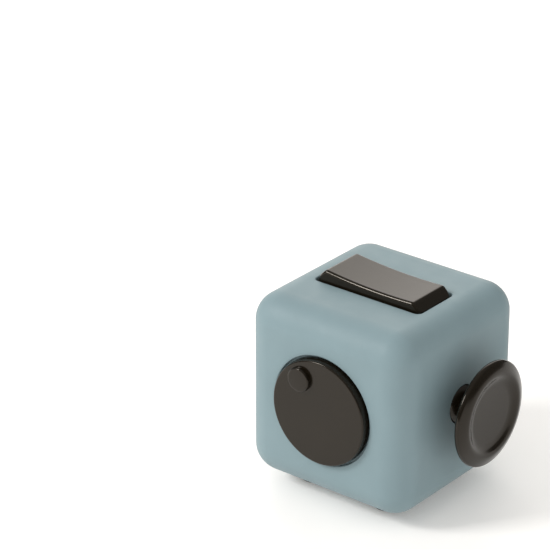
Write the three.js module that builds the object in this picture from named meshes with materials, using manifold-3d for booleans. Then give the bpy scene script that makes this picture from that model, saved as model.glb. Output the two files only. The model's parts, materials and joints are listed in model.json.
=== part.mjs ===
// A fidget cube: a hand-sized moulded cube with a different control on each of its six faces.
//   +Z rocker switch      -Z five push buttons, on which the cube stands
//   -Y spinning dial      +Y three thumb gears above a rolling click ball
//   +X tilting joystick   -X smooth thumb panel, which is also the cover
// Millimetres, +Z up. The origin is on the rest plane, straight below the middle of the cube.
// The pieces are drawn about the cube's centre, and the group lifts them onto the rest plane.

import * as THREE from "three";
import { RoundedBoxGeometry } from "three/addons/geometries/RoundedBoxGeometry.js";
import { mergeVertices } from "three/addons/utils/BufferGeometryUtils.js";
import Module from "manifold-3d";

const wasm = await Module();
wasm.setup();

// ---- driving dimensions ----

const SIDE = 33; // the cube, face to face
const EDGE_RADIUS = 5;
const WALL = 1.8;
const SEAM = 0.12; // gap round the cover
const CLEAR = 0.15; // gap round pieces that sit in one another
const RUNNING = 0.06; // gap round a turning shaft
const SCREW = { head: 1.3, headHeight: 0.9, shank: 0.7, point: 0.5, slot: 0.4, hole: 0.85, pilot: 0.8 };
const SPRING_GAP = 0.05; // gap at each end of a spring
const REST = 0.08; // gap under a screw head, washer or clamped sheet

const BUTTON = { height: 2, baseRadius: 3.25, topRadius: 2.75, flange: 3.9 };
const BUTTON_SPRING = { radius: 1.65, wire: 0.24, turns: 3, peg: 0.9, pegEnd: 2.5, seat: 0.7 };
const BUTTON_PITCH = { x: 7.7, y: 7.8 }; // corner buttons from the middle one

const ROCKER = {
  halfLength: 10.5,
  halfWidth: 4.7,
  topHalfLength: 8.95,
  corner: 0.9,
  edge: 0.2, // how far its ends' lower edges stand clear of the casing
  rise: 1.74,
  dip: 0.4,
};
const ROCKER_OPENING = { halfLength: 10.85, halfWidth: 4.95, corner: 1 };
const ROCKER_BASE = 14;
const ROCKER_HOLLOW = { halfLength: 9.6, halfWidth: 3.9, top: 16.6 };
const ROCKER_BOSS = { half: 1.9, halfWidth: 2.2, top: 16.8 };
const ROCKER_PIN = { radius: 1, halfLength: 3.5 };
const ROCKER_PIVOT_Z = 13;
const ROCKER_REST_TILT = THREE.MathUtils.degToRad(2.07); // its -X end stands up

const DIAL = {
  radius: 9.4,
  faceRadius: 9.15,
  edge: 0.3,
  proud: 1.15,
  recess: 9.75,
  recessDepth: 0.7,
  shaft: 2.9,
};
const DIAL_NUB = { x: -3.6, z: 5.3, radius: 2.2, topRadius: 2.05, edge: 0.2, height: 0.75 };

const STICK = { ball: 3.9, socket: 4.03, pivotX: 14.3, stalk: 2.4, capRadius: 9.2, capTop: 22.95 };
const STICK_DISH = { crest: 7, floor: 5.7, depth: 0.7 }; // the thumb's hollow in the cap
const STICK_TAIL = { radius: 1.2, end: 7.8 };

const GEAR = { tip: 5.5, root: 4.75, teeth: 12, thickness: 3, pitchX: 6.85, y: 11.6, z: 5.15 };
const GEAR_SLOT = { width: 3.55, low: 0.5, high: 9.8, corner: 0.7 };
const GEAR_HUB = { radius: 1.8, reach: 3.35, end: 8.7 };
const AXLE = { radius: 0.75, halfLength: 9.7 };

const BALL = { radius: 5.5, y: 14.63, z: -7.25, seat: 5.65 };

const PANEL = { edgeY: 13.4, halfHeight: 13.4, corner: 2, thickness: 1.9 };
const PANEL_DISH = { halfWidth: 7.6, halfHeight: 10.3, depth: 0.9 };
const PANEL_HOOK = { y: 7, halfWidth: 2, from: 11.2, to: 12.05, barb: 12.6, length: 0.95 };

// ---- derived dimensions ----

const HALF = SIDE / 2;
const INNER = HALF - WALL;
const RIM_THICKNESS = 1.25; // ledge that the cover sits on
const RIM_INNER_X = -HALF + PANEL.thickness + CLEAR + RIM_THICKNESS;
const RIM_OPENING = { front: -12.2, back: 12, halfHeight: 12.2 }; // the opening behind the cover

const FINE = 32; // sides of a wide round
const ROUND = 20; // sides of a visible round
const SMALL = 8; // sides of a hidden round
const SCREW_SIDES = 10;
const EDGE_STEPS = 3; // facets across half a rounded edge
const BALL_SIDES = 24;
const JOIN = 0.1; // how far joined solids run into one another
const PAST = 1; // how far a cutter runs past what it cuts

// ---- solids: three.js geometry, joined and cut with manifold-3d ----

const ORIGIN = new THREE.Vector3();
const at = (x, y, z) => new THREE.Vector3(x, y, z);

function solidOf(geometry) {
  const bare = geometry.clone();
  bare.deleteAttribute("normal");
  bare.deleteAttribute("uv");
  const merged = mergeVertices(bare, 1e-4);
  const index = merged.index.array;
  const corners = [];
  for (let i = 0; i < index.length; i += 3) {
    const [a, b, c] = [index[i], index[i + 1], index[i + 2]];
    if (a !== b && b !== c && c !== a) corners.push(a, b, c);
  }
  const mesh = new wasm.Mesh({
    numProp: 3,
    vertProperties: merged.attributes.position.array,
    triVerts: Uint32Array.from(corners),
  });
  return new wasm.Manifold(mesh);
}

function geometryOf(solid) {
  const { vertProperties, triVerts } = solid.getMesh();
  const geometry = new THREE.BufferGeometry();
  geometry.setAttribute("position", new THREE.BufferAttribute(vertProperties, 3));
  geometry.setIndex(new THREE.BufferAttribute(triVerts, 1));
  geometry.computeVertexNormals();
  return geometry;
}

// A stretch of an axis, on its positive or negative side.
const span = (side, from, to) => (side > 0 ? [from, to] : [-to, -from]);

const bothWays = (half) => [-half, half];

const joined = (first, ...rest) => rest.reduce((whole, piece) => whole.add(piece), first);
const cut = (whole, ...tools) => tools.reduce((left, tool) => left.subtract(tool), whole);

// A box from its low and high value on each axis.
function block([x0, x1], [y0, y1], [z0, z1]) {
  const geometry = new THREE.BoxGeometry(x1 - x0, y1 - y0, z1 - z0);
  geometry.translate((x0 + x1) / 2, (y0 + y1) / 2, (z0 + z1) / 2);
  return solidOf(geometry);
}

function roundedCube(side, radius, segments) {
  return solidOf(new RoundedBoxGeometry(side, side, side, segments, radius));
}

// A profile of [radius, place along the axis] points, turned about an axis through centre.
function turned(profile, axis, centre = ORIGIN, sides = ROUND) {
  const points = profile.map(([radius, along]) => new THREE.Vector2(radius, along));
  const geometry = new THREE.LatheGeometry(points, sides);
  if (axis === "x") geometry.rotateZ(-Math.PI / 2);
  if (axis === "z") geometry.rotateX(Math.PI / 2);
  geometry.translate(centre.x, centre.y, centre.z);
  return solidOf(geometry);
}

function rod(axis, radius, from, to, centre = ORIGIN, sides = SMALL) {
  return turned([[0, from], [radius, from], [radius, to], [0, to]], axis, centre, sides);
}

function sphere(radius, centre, sides = ROUND) {
  const geometry = new THREE.SphereGeometry(radius, sides, Math.round(sides / 1.5));
  geometry.rotateZ(Math.PI / 2);
  geometry.translate(centre.x, centre.y, centre.z);
  return solidOf(geometry);
}

// A flat outline extruded along an axis. The outline's two coordinates are XY along z,
// XZ along y and YZ along x.
function prism(shape, axis, from, to, curveSegments = 6) {
  const options = { depth: to - from, bevelEnabled: false, curveSegments };
  const geometry = new THREE.ExtrudeGeometry(shape, options);
  if (axis === "z") geometry.translate(0, 0, from);
  if (axis === "y") geometry.rotateX(Math.PI / 2).translate(0, to, 0);
  if (axis === "x") {
    geometry.rotateX(Math.PI / 2).rotateZ(Math.PI / 2).translate(from, 0, 0);
  }
  return solidOf(geometry);
}

function roundedRectangle(x0, x1, y0, y1, radius) {
  const shape = new THREE.Shape();
  shape.moveTo(x0 + radius, y0);
  shape.lineTo(x1 - radius, y0);
  shape.absarc(x1 - radius, y0 + radius, radius, -Math.PI / 2, 0);
  shape.lineTo(x1, y1 - radius);
  shape.absarc(x1 - radius, y1 - radius, radius, 0, Math.PI / 2);
  shape.lineTo(x0 + radius, y1);
  shape.absarc(x0 + radius, y1 - radius, radius, Math.PI / 2, Math.PI);
  shape.lineTo(x0, y0 + radius);
  shape.absarc(x0 + radius, y0 + radius, radius, Math.PI, 1.5 * Math.PI);
  return shape;
}

// A wheel with V notches between its teeth. A tooth takes up `land` of a pitch on each side of its middle.
function notchedWheel(tip, root, count, land) {
  const wheel = new THREE.Shape();
  const pitch = (2 * Math.PI) / count;
  for (let i = 0; i < count; i++) {
    const notch = (i + 0.5) * pitch;
    wheel.absarc(0, 0, tip, (i - land) * pitch, (i + land) * pitch);
    wheel.lineTo(root * Math.cos(notch), root * Math.sin(notch));
  }
  return wheel;
}

const outline = (...points) => new THREE.Shape(points.map(([a, b]) => new THREE.Vector2(a, b)));

class Helix extends THREE.Curve {
  constructor(radius, from, to, turns) {
    super();
    Object.assign(this, { radius, from, to, turns });
  }

  getPoint(t, target = new THREE.Vector3()) {
    const angle = 2 * Math.PI * this.turns * t;
    const along = this.from + (this.to - this.from) * t;
    return target.set(this.radius * Math.cos(angle), this.radius * Math.sin(angle), along);
  }
}

// A coil spring that fills the length from..to along its axis.
function coilSpring(axis, radius, wire, from, to, turns, centre) {
  const path = new Helix(radius, from + wire, to - wire, turns);
  const section = new THREE.Shape().absarc(0, 0, wire, 0, 2 * Math.PI);
  const options = { steps: Math.round(9 * turns), bevelEnabled: false, extrudePath: path, curveSegments: 2 };
  const geometry = new THREE.ExtrudeGeometry(section, options);
  if (axis === "x") geometry.rotateY(Math.PI / 2);
  if (axis === "y") geometry.rotateX(-Math.PI / 2);
  geometry.translate(centre.x, centre.y, centre.z);
  return solidOf(geometry);
}

// A slotted screw whose head sits from `seat` backwards and whose shank points in direction `way`.
function screw(axis, seat, way, length, centre, head = SCREW.head, shank = SCREW.shank) {
  const top = seat - way * SCREW.headHeight;
  const tip = seat + way * length;
  const point = tip - way * SCREW.point;
  const profile = [[0, top], [head, top], [head, seat], [shank, seat], [shank, point], [0, tip]];
  if (way < 0) profile.reverse();
  const body = turned(profile, axis, centre, SCREW_SIDES);
  const across = [-SCREW.slot / 2, SCREW.slot / 2];
  const spans = { x: [-head, head], y: across, z: [-head, head] };
  if (axis === "y") spans.z = across;
  if (axis === "z") spans.y = across;
  spans[axis] = [top - way * JOIN, top + way * SCREW.slot].sort((a, b) => a - b);
  return cut(body, block(spans.x, spans.y, spans.z).translate([centre.x, centre.y, centre.z]));
}

// ---- materials ----

const material = (color, roughness, metalness = 0) =>
  new THREE.MeshStandardMaterial({ color, roughness, metalness });

const shellPlastic = material(0x9fb4bb, 0.7);
const controlPlastic = material(0x3b3733, 0.45);
const innerPlastic = material(0x2c2e30, 0.6);
const polishedSteel = material(0xd8d4cc, 0.08, 1);
const springSteel = material(0xa9abad, 0.3, 1);
const screwSteel = material(0x8f9194, 0.35, 1);

const cube = new THREE.Group();
cube.position.z = HALF + BUTTON.height;

function piece(name, solid, look) {
  const mesh = new THREE.Mesh(geometryOf(solid), look);
  mesh.name = name;
  cube.add(mesh);
  return mesh;
}

// ---- where things repeat ----

const BUTTON_PLACES = {
  middle: at(0, 0, 0),
  front_left: at(-BUTTON_PITCH.x, -BUTTON_PITCH.y, 0),
  front_right: at(BUTTON_PITCH.x, -BUTTON_PITCH.y, 0),
  back_left: at(-BUTTON_PITCH.x, BUTTON_PITCH.y, 0),
  back_right: at(BUTTON_PITCH.x, BUTTON_PITCH.y, 0),
};
const GEAR_PLACES = { left: -GEAR.pitchX, middle: 0, right: GEAR.pitchX };
const CHASSIS_BOSS = { x: 11.8, y: 12.3, radius: 2 }; // screw bosses in the four lower corners
const CHASSIS = { low: -10.4, high: -9.2 };
const CRADLE_SCREW = { x: 12.2, boss: 1.35 };
const CRADLE = {
  low: 11.3,
  high: 12.3,
  halfWidth: 4.6,
  window: 2.8,
  ears: [2.35, 3.55],
  earHalfLength: 2.2,
  earTop: 0.3,
  earRadius: 1.7,
};
const STRIP_PIN = { x: 4.6, radius: 0.6, length: 0.75 }; // holds the rocker's spring strip
const STRIP = { halfWidth: 1.6, thickness: 0.3, hole: 0.1 };
const RETAINER_SCREW = { y: 5.6, z: 5.6, boss: 1.5 };
const RETAINER = { low: 11.6, tab: 12.9, high: 14.55, hub: 4.9, half: 6.9, corner: 1.3 };
const BRACKET_SCREW = { x: 3.4, y: 11.85, boss: 1.5, gap: 0.45 };
const BRACKET = { low: 11.1, high: 12, front: 14.5, rear: 9.2, ear: 8.8, side: 9.75, earLow: 2.6 };
const DETENT_POST = { x: 6.3, z: 8.6, radius: 1.1, length: 1.9 };
const PILOT_END = INNER + 0.6; // screw holes run a little way into the wall
const signs = [-1, 1];

// ---- casing ----

function bodyShell() {
  const bosses = [];
  const pilots = [];
  for (const sx of signs) {
    for (const sy of signs) {
      const corner = at(sx * CHASSIS_BOSS.x, sy * CHASSIS_BOSS.y, 0);
      bosses.push(rod("z", CHASSIS_BOSS.radius, -INNER - JOIN, CHASSIS.low - CLEAR, corner));
      pilots.push(rod("z", SCREW.pilot, -PILOT_END, CHASSIS.low, corner));
      const socket = at(0, sx * RETAINER_SCREW.y, sy * RETAINER_SCREW.z);
      bosses.push(rod("x", RETAINER_SCREW.boss, RETAINER.tab + CLEAR, INNER + JOIN, socket));
      pilots.push(rod("x", SCREW.pilot, RETAINER.tab, PILOT_END, socket));
    }
    const cradle = at(sx * CRADLE_SCREW.x, 0, 0);
    bosses.push(rod("z", CRADLE_SCREW.boss, CRADLE.high + CLEAR, INNER + JOIN, cradle));
    pilots.push(rod("z", SCREW.pilot, CRADLE.high, PILOT_END, cradle));
    const bracket = at(sx * BRACKET_SCREW.x, BRACKET_SCREW.y, 0);
    bosses.push(rod("z", BRACKET_SCREW.boss, BRACKET.high + BRACKET_SCREW.gap, INNER + JOIN, bracket));
    pilots.push(rod("z", SCREW.pilot, BRACKET.high, PILOT_END, bracket));
    const post = at(sx * DETENT_POST.x, 0, DETENT_POST.z);
    bosses.push(rod("y", DETENT_POST.radius, -INNER - JOIN, -INNER + DETENT_POST.length, post));
  }
  const cavity = roundedCube(2 * INNER, EDGE_RADIUS - WALL, 2);
  const rim = block([-INNER - JOIN, RIM_INNER_X], [-INNER, INNER], [-INNER, INNER]);
  const hollow = cut(cavity, rim);
  const body = joined(cut(roundedCube(SIDE, EDGE_RADIUS, EDGE_STEPS), hollow), ...bosses);
  return cut(body, ...pilots, ...shellOpenings());
}

function shellOpenings() {
  const { front, back, halfHeight } = RIM_OPENING;
  const rimOpening = block([-HALF - PAST, RIM_INNER_X + JOIN], [front, back], bothWays(halfHeight));
  const { halfLength, halfWidth, corner } = ROCKER_OPENING;
  const rockerOutline = roundedRectangle(-halfLength, halfLength, -halfWidth, halfWidth, corner);
  const openings = [
    panelPocket(SEAM, CLEAR),
    rimOpening,
    prism(rockerOutline, "z", INNER - PAST / 2, HALF + PAST),
    rod("y", DIAL.recess, -HALF - PAST, -HALF + DIAL.recessDepth, ORIGIN, FINE),
    rod("y", DIAL.shaft + CLEAR, -HALF - PAST, -INNER + PAST / 2, ORIGIN, ROUND),
    sphere(STICK.socket, at(STICK.pivotX, 0, 0), ROUND),
    sphere(BALL.seat, at(0, BALL.y, BALL.z), ROUND),
  ];
  for (const x of Object.values(GEAR_PLACES)) {
    const half = GEAR_SLOT.width / 2;
    const slot = roundedRectangle(x - half, x + half, GEAR_SLOT.low, GEAR_SLOT.high, GEAR_SLOT.corner);
    openings.push(prism(slot, "y", INNER - PAST / 2, HALF + PAST, 3));
  }
  for (const place of Object.values(BUTTON_PLACES)) {
    openings.push(rod("z", BUTTON.baseRadius + CLEAR, -HALF - PAST, -INNER + PAST / 2, place, ROUND));
  }
  return openings;
}

// The room the cover takes in the -X wall, grown sideways by `gap` and inwards by `depth`.
// On its -Y side it runs over the rounded edge and ends on that edge's 45 degree line.
function panelPocket(gap, depth) {
  const { edgeY, halfHeight, corner, thickness } = PANEL;
  const back = -HALF + thickness + depth;
  const tall = halfHeight + gap;
  const face = new THREE.Shape();
  face.moveTo(-HALF - PAST, -tall);
  face.lineTo(edgeY + gap - corner, -tall);
  face.absarc(edgeY + gap - corner, -tall + corner, corner, -Math.PI / 2, 0);
  face.absarc(edgeY + gap - corner, tall - corner, corner, 0, Math.PI / 2);
  face.lineTo(-HALF - PAST, tall);
  const slab = prism(face, "x", -HALF - PAST, back);
  const mitre = gap * Math.SQRT2;
  const far = HALF + 2 * PAST;
  const side = outline([back, back - mitre], [back, far], [-far, far], [-far, -far - mitre]);
  return slab.intersect(prism(side, "z", -HALF, HALF));
}

function thumbPanel() {
  const { thickness } = PANEL;
  const skin = roundedCube(SIDE, EDGE_RADIUS, EDGE_STEPS).intersect(panelPocket(0, 0));
  const cap = 0.9; // how far from its centre the face cuts the unit sphere that makes the dish
  const spread = Math.sqrt(1 - cap * cap);
  const reach = PANEL_DISH.depth / (1 - cap);
  const dish = new THREE.SphereGeometry(1, 32, 20);
  dish.rotateZ(Math.PI / 2);
  dish.scale(reach, PANEL_DISH.halfWidth / spread, PANEL_DISH.halfHeight / spread);
  dish.translate(-HALF - reach * cap, 0, 0);
  const { y, halfWidth, from, to, barb, length } = PANEL_HOOK;
  const tip = RIM_INNER_X + length;
  const hooks = [];
  for (const middle of [-y, y]) {
    const width = [middle - halfWidth, middle + halfWidth];
    for (const side of signs) {
      hooks.push(block([-HALF + thickness - JOIN, tip], width, span(side, from, to)));
      hooks.push(block([RIM_INNER_X + CLEAR, tip], width, span(side, from, barb)));
    }
  }
  return joined(cut(skin, solidOf(dish)), ...hooks);
}

piece("body_shell", bodyShell(), shellPlastic);
piece("thumb_panel", thumbPanel(), shellPlastic);

// ---- chassis: carries the button springs, the click ball's slide and the joystick's spring ----

const STICK_SPRING_POST = { wall: [4.3, 5.5], halfWidth: 2.6, height: 2.4, radius: 1.2, tip: 6.9 };
const BALL_SLIDE_WALL = { span: [3.9, 5.1], halfWidth: 5, height: -3.6 };
const BALL_OPENING = { halfWidth: 5.5, end: 14 };
const BALL_STEM = { radius: 1.4, end: 2.9 };

function chassis() {
  const plate = roundedRectangle(-13, 13.6, -13.6, 13.6, 2.4);
  const ballCentre = at(0, 0, BALL.z);
  const { wall, halfWidth, height, radius, tip } = STICK_SPRING_POST;
  const slide = BALL_SLIDE_WALL;
  const body = joined(
    prism(plate, "z", CHASSIS.low, CHASSIS.high, 3),
    block(wall, [-halfWidth, halfWidth], [CHASSIS.high - JOIN, height]),
    rod("x", radius, wall[1] - JOIN, tip),
    block([-slide.halfWidth, slide.halfWidth], slide.span, [CHASSIS.high - JOIN, slide.height]),
  );
  const [wallFront, wallBack] = slide.span;
  const opening = [-BALL_OPENING.halfWidth, BALL_OPENING.halfWidth];
  const holes = [
    block(opening, [wallBack + SPRING_GAP, BALL_OPENING.end], [CHASSIS.low - PAST, CHASSIS.high + JOIN]),
    rod("y", BALL_STEM.radius + RUNNING, wallFront - PAST, wallBack + PAST, ballCentre, ROUND),
  ];
  for (const sx of signs) {
    for (const sy of signs) {
      const corner = at(sx * CHASSIS_BOSS.x, sy * CHASSIS_BOSS.y, 0);
      holes.push(rod("z", SCREW.hole, CHASSIS.low - PAST, CHASSIS.high + PAST, corner));
    }
  }
  return cut(body, ...holes);
}

piece("chassis", chassis(), innerPlastic);
for (const [front, sy] of [["front", -1], ["back", 1]]) {
  for (const [left, sx] of [["left", -1], ["right", 1]]) {
    const corner = at(sx * CHASSIS_BOSS.x, sy * CHASSIS_BOSS.y, 0);
    const solid = screw("z", CHASSIS.high + REST, -1, 4.4, corner);
    piece(`chassis_screw_${front}_${left}`, solid, screwSteel);
  }
}

// ---- five push buttons ----

function button(place) {
  const { peg, pegEnd, seat } = BUTTON_SPRING;
  const end = -HALF - BUTTON.height;
  const shoulder = -INNER + CLEAR;
  return turned(
    [
      [0, end],
      [BUTTON.topRadius - 0.3, end],
      [BUTTON.topRadius, end + 0.3],
      [BUTTON.baseRadius, end + 1.5],
      [BUTTON.baseRadius, shoulder],
      [BUTTON.flange, shoulder],
      [BUTTON.flange, shoulder + seat],
      [peg, shoulder + seat],
      [peg, shoulder + pegEnd],
      [0, shoulder + pegEnd],
    ],
    "z",
    place,
  );
}

for (const [where, place] of Object.entries(BUTTON_PLACES)) {
  piece(`button_${where}`, button(place), controlPlastic);
  const { radius, wire, turns, seat } = BUTTON_SPRING;
  const [low, high] = [-INNER + CLEAR + seat + SPRING_GAP, CHASSIS.low - SPRING_GAP];
  const spring = coilSpring("z", radius, wire, low, high, turns, place);
  piece(`button_spring_${where}`, spring, springSteel);
}

// ---- rocker switch ----

// Drawn level; the piece is then tilted about its pin to the state it clicks into.
function rocker() {
  const { halfLength, halfWidth, topHalfLength, corner, edge, rise, dip } = ROCKER;
  const [base, top] = [ROCKER_BASE, HALF + rise];
  const side = new THREE.Shape();
  side.moveTo(-halfLength, base);
  side.lineTo(halfLength, base);
  side.lineTo(halfLength, HALF + edge);
  side.lineTo(topHalfLength, top);
  side.quadraticCurveTo(0, top - 2 * dip, -topHalfLength, top);
  side.lineTo(-halfLength, HALF + edge);
  const plan = roundedRectangle(-halfLength, halfLength, -halfWidth, halfWidth, corner);
  const key = prism(side, "y", -halfWidth, halfWidth, 8).intersect(prism(plan, "z", base, top + PAST, 4));
  const room = ROCKER_HOLLOW;
  const hollow = block(bothWays(room.halfLength), bothWays(room.halfWidth), [base - PAST, room.top]);
  const { half, halfWidth: bossWidth, top: bossTop } = ROCKER_BOSS;
  const boss = block(bothWays(half), bothWays(bossWidth), [ROCKER_PIVOT_Z, bossTop]);
  const pivot = at(0, 0, ROCKER_PIVOT_Z);
  const knuckle = rod("y", half, -bossWidth, bossWidth, pivot, ROUND);
  const bore = rod("y", ROCKER_PIN.radius + RUNNING, -bossWidth - PAST, bossWidth + PAST, pivot, ROUND);
  return cut(joined(cut(key, hollow), boss, knuckle), bore);
}

function rockerCradle() {
  const { low, high, halfWidth, ears, earHalfLength, earTop, earRadius, window } = CRADLE;
  const pivot = at(0, 0, ROCKER_PIVOT_Z);
  const plate = block([RIM_INNER_X + 0.3, INNER - 1.2], bothWays(halfWidth), [low, high]);
  const parts = [];
  const holes = [
    block(bothWays(window), bothWays(ears[0]), [low - PAST, high + PAST]),
    rod("y", ROCKER_PIN.radius + RUNNING / 2, -ears[1] - PAST, ears[1] + PAST, pivot, ROUND),
  ];
  for (const side of signs) {
    const ear = span(side, ...ears);
    parts.push(block(bothWays(earHalfLength), ear, [high - JOIN, ROCKER_PIVOT_Z + earTop]));
    parts.push(rod("y", earRadius, ear[0], ear[1], pivot, ROUND));
    parts.push(rod("z", STRIP_PIN.radius, low - STRIP_PIN.length, low + JOIN, at(STRIP_PIN.x * side, 0, 0)));
    holes.push(rod("z", SCREW.hole, low - PAST, high + PAST, at(CRADLE_SCREW.x * side, 0, 0)));
  }
  return cut(joined(plate, ...parts), ...holes);
}

// A bent strip under the rocker's boss: it presses up, so that the rocker clicks to either side.
function rockerDetentSpring() {
  const top = CRADLE.low - 0.1;
  const upper = [[-5.5, 0], [-3.2, 0], [-1.6, -0.5], [0, -0.25], [1.6, -0.5], [3.2, 0], [5.5, 0]];
  const lower = upper.map(([x, drop]) => [x, drop - STRIP.thickness]).reverse();
  const strip = outline(...[...upper, ...lower].map(([x, drop]) => [x, top + drop]));
  const holes = signs.map((side) => {
    const place = at(STRIP_PIN.x * side, 0, 0);
    return rod("z", STRIP_PIN.radius + STRIP.hole, top - PAST, top + PAST, place);
  });
  return cut(prism(strip, "y", -STRIP.halfWidth, STRIP.halfWidth), ...holes);
}

const rockerPivot = new THREE.Group();
rockerPivot.position.z = ROCKER_PIVOT_Z;
rockerPivot.rotation.y = ROCKER_REST_TILT;
cube.add(rockerPivot);
const rockerMesh = piece("rocker", rocker(), controlPlastic);
rockerMesh.position.z = -ROCKER_PIVOT_Z;
rockerPivot.add(rockerMesh);
const rockerPinEnds = bothWays(ROCKER_PIN.halfLength);
const rockerPin = rod("y", ROCKER_PIN.radius, ...rockerPinEnds, at(0, 0, ROCKER_PIVOT_Z), ROUND);
piece("rocker_pin", rockerPin, screwSteel);
piece("rocker_cradle", rockerCradle(), innerPlastic);
piece("rocker_detent_spring", rockerDetentSpring(), springSteel);
for (const [left, sx] of [["left", -1], ["right", 1]]) {
  const solid = screw("z", CRADLE.low - REST, 1, 3.6, at(sx * CRADLE_SCREW.x, 0, 0), 1.25);
  piece(`rocker_cradle_screw_${left}`, solid, screwSteel);
}

// ---- spinning dial ----

const DIAL_HUB = { flange: 6.2, flangeBack: -13.2, radius: 4.4, back: -10.8 };
const DIAL_CLICKS = { count: 12, depth: 0.7 };
const DIAL_STRIP = { front: -14.4, back: -13.3, eye: 0.7, halfThickness: 0.2 };
const DIAL_SCREW = { head: 1.7, shank: 0.65, length: 3.8, washer: 3.6, bore: 0.75, boreEnd: -14.6 };

function dial() {
  const { radius, faceRadius, edge, proud, recessDepth, shaft } = DIAL;
  const face = -HALF - proud;
  const floor = -HALF + recessDepth - 0.12;
  const body = turned(
    [
      [0, face],
      [faceRadius, face],
      [radius, face + edge],
      [radius, floor],
      [shaft, floor],
      [shaft, DIAL_HUB.back - JOIN],
      [0, DIAL_HUB.back - JOIN],
    ],
    "y",
    ORIGIN,
    FINE,
  );
  const end = face - DIAL_NUB.height;
  const nub = turned(
    [
      [0, end],
      [DIAL_NUB.topRadius - DIAL_NUB.edge, end],
      [DIAL_NUB.topRadius, end + DIAL_NUB.edge],
      [DIAL_NUB.radius, face + JOIN],
      [0, face + JOIN],
    ],
    "y",
    at(DIAL_NUB.x, 0, DIAL_NUB.z),
  );
  return cut(joined(body, nub), rod("y", DIAL_SCREW.bore, DIAL_SCREW.boreEnd, DIAL_HUB.back + PAST));
}

// A hub on the dial's shaft, inside the wall, with a ring of notches for the detent spring.
function dialHub() {
  const { flange, flangeBack, radius, back } = DIAL_HUB;
  const ring = notchedWheel(flange, flange - DIAL_CLICKS.depth, DIAL_CLICKS.count, 0.28);
  const body = joined(
    prism(ring, "y", -INNER + CLEAR, flangeBack, 3),
    rod("y", radius, flangeBack - JOIN, back, ORIGIN, ROUND),
  );
  return cut(body, rod("y", DIAL.shaft + SPRING_GAP, -HALF, back + PAST, ORIGIN, FINE));
}

// A spring strip hung on two posts, with a nib over the ring of notches.
function dialDetentSpring() {
  const { front, back, eye, halfThickness } = DIAL_STRIP;
  const { x, z, radius } = DETENT_POST;
  const [low, high] = [z - halfThickness, z + halfThickness];
  const nib = DIAL_HUB.flange + 0.12;
  const under = [[-x, low], [-1, low], [0, nib], [1, low], [x, low]];
  const over = [[x, high], [0.8, high], [0, nib + 0.75], [-0.8, high], [-x, high]];
  const eyes = signs.map((side) => rod("y", radius + eye, front, back, at(side * x, 0, z)));
  const holes = signs.map((side) => rod("y", radius + 0.1, front - PAST, back + PAST, at(side * x, 0, z)));
  return cut(joined(prism(outline(...under, ...over), "y", front, back), ...eyes), ...holes);
}

piece("dial", dial(), controlPlastic);
piece("dial_hub", dialHub(), innerPlastic);
const washerBack = DIAL_HUB.back + 0.6;
const washer = cut(
  rod("y", DIAL_SCREW.washer, DIAL_HUB.back + REST, washerBack, ORIGIN, ROUND),
  rod("y", SCREW.hole, DIAL_HUB.back - PAST, washerBack + PAST),
);
piece("dial_washer", washer, screwSteel);
const { head, shank, length } = DIAL_SCREW;
piece("dial_screw", screw("y", washerBack + REST, -1, length, ORIGIN, head, shank), screwSteel);
piece("dial_detent_spring", dialDetentSpring(), springSteel);

// ---- joystick ----

function joystick() {
  const { ball, pivotX, stalk, capRadius, capTop } = STICK;
  const { crest, floor, depth } = STICK_DISH;
  const cap = turned(
    [
      [0, pivotX],
      [stalk, pivotX],
      [stalk, capTop - 3.6],
      [stalk + 0.9, capTop - 2.6],
      [capRadius - 1, capTop - 2],
      [capRadius - 0.15, capTop - 1.65],
      [capRadius, capTop - 1.2],
      [capRadius - 0.3, capTop - 0.7],
      [capRadius - 1.2, capTop - 0.25],
      [crest, capTop],
      [floor, capTop - depth],
      [0, capTop - depth],
    ],
    "x",
    ORIGIN,
    FINE,
  );
  const tail = rod("x", STICK_TAIL.radius, STICK_TAIL.end, pivotX - 2);
  return joined(cap, sphere(ball, at(pivotX, 0, 0), ROUND), tail);
}

function joystickRetainer() {
  const { low, tab, high, hub, half, corner } = RETAINER;
  const plate = roundedRectangle(-half, half, -half, half, corner);
  const body = joined(prism(plate, "x", low, tab, 3), rod("x", hub, tab - JOIN, high, ORIGIN, ROUND));
  const holes = [sphere(STICK.socket, at(STICK.pivotX, 0, 0), ROUND)];
  for (const sy of signs) {
    for (const sz of signs) {
      const place = at(0, sy * RETAINER_SCREW.y, sz * RETAINER_SCREW.z);
      holes.push(rod("x", SCREW.hole, low - PAST, tab + PAST, place));
    }
  }
  return cut(body, ...holes);
}

piece("joystick", joystick(), controlPlastic);
piece("joystick_retainer", joystickRetainer(), innerPlastic);
for (const [upper, sz] of [["lower", -1], ["upper", 1]]) {
  for (const [front, sy] of [["front", -1], ["back", 1]]) {
    const place = at(0, sy * RETAINER_SCREW.y, sz * RETAINER_SCREW.z);
    const solid = screw("x", RETAINER.low - REST, 1, 3.5, place);
    piece(`joystick_screw_${upper}_${front}`, solid, screwSteel);
  }
}
const STICK_SPRING = { radius: 1.65, wire: 0.25, end: 10.2, turns: 5 };
const stickSpring = coilSpring(
  "x",
  STICK_SPRING.radius,
  STICK_SPRING.wire,
  STICK_SPRING_POST.wall[1] + REST,
  STICK_SPRING.end,
  STICK_SPRING.turns,
  ORIGIN,
);
piece("joystick_spring", stickSpring, springSteel);

// ---- thumb gears ----

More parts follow.
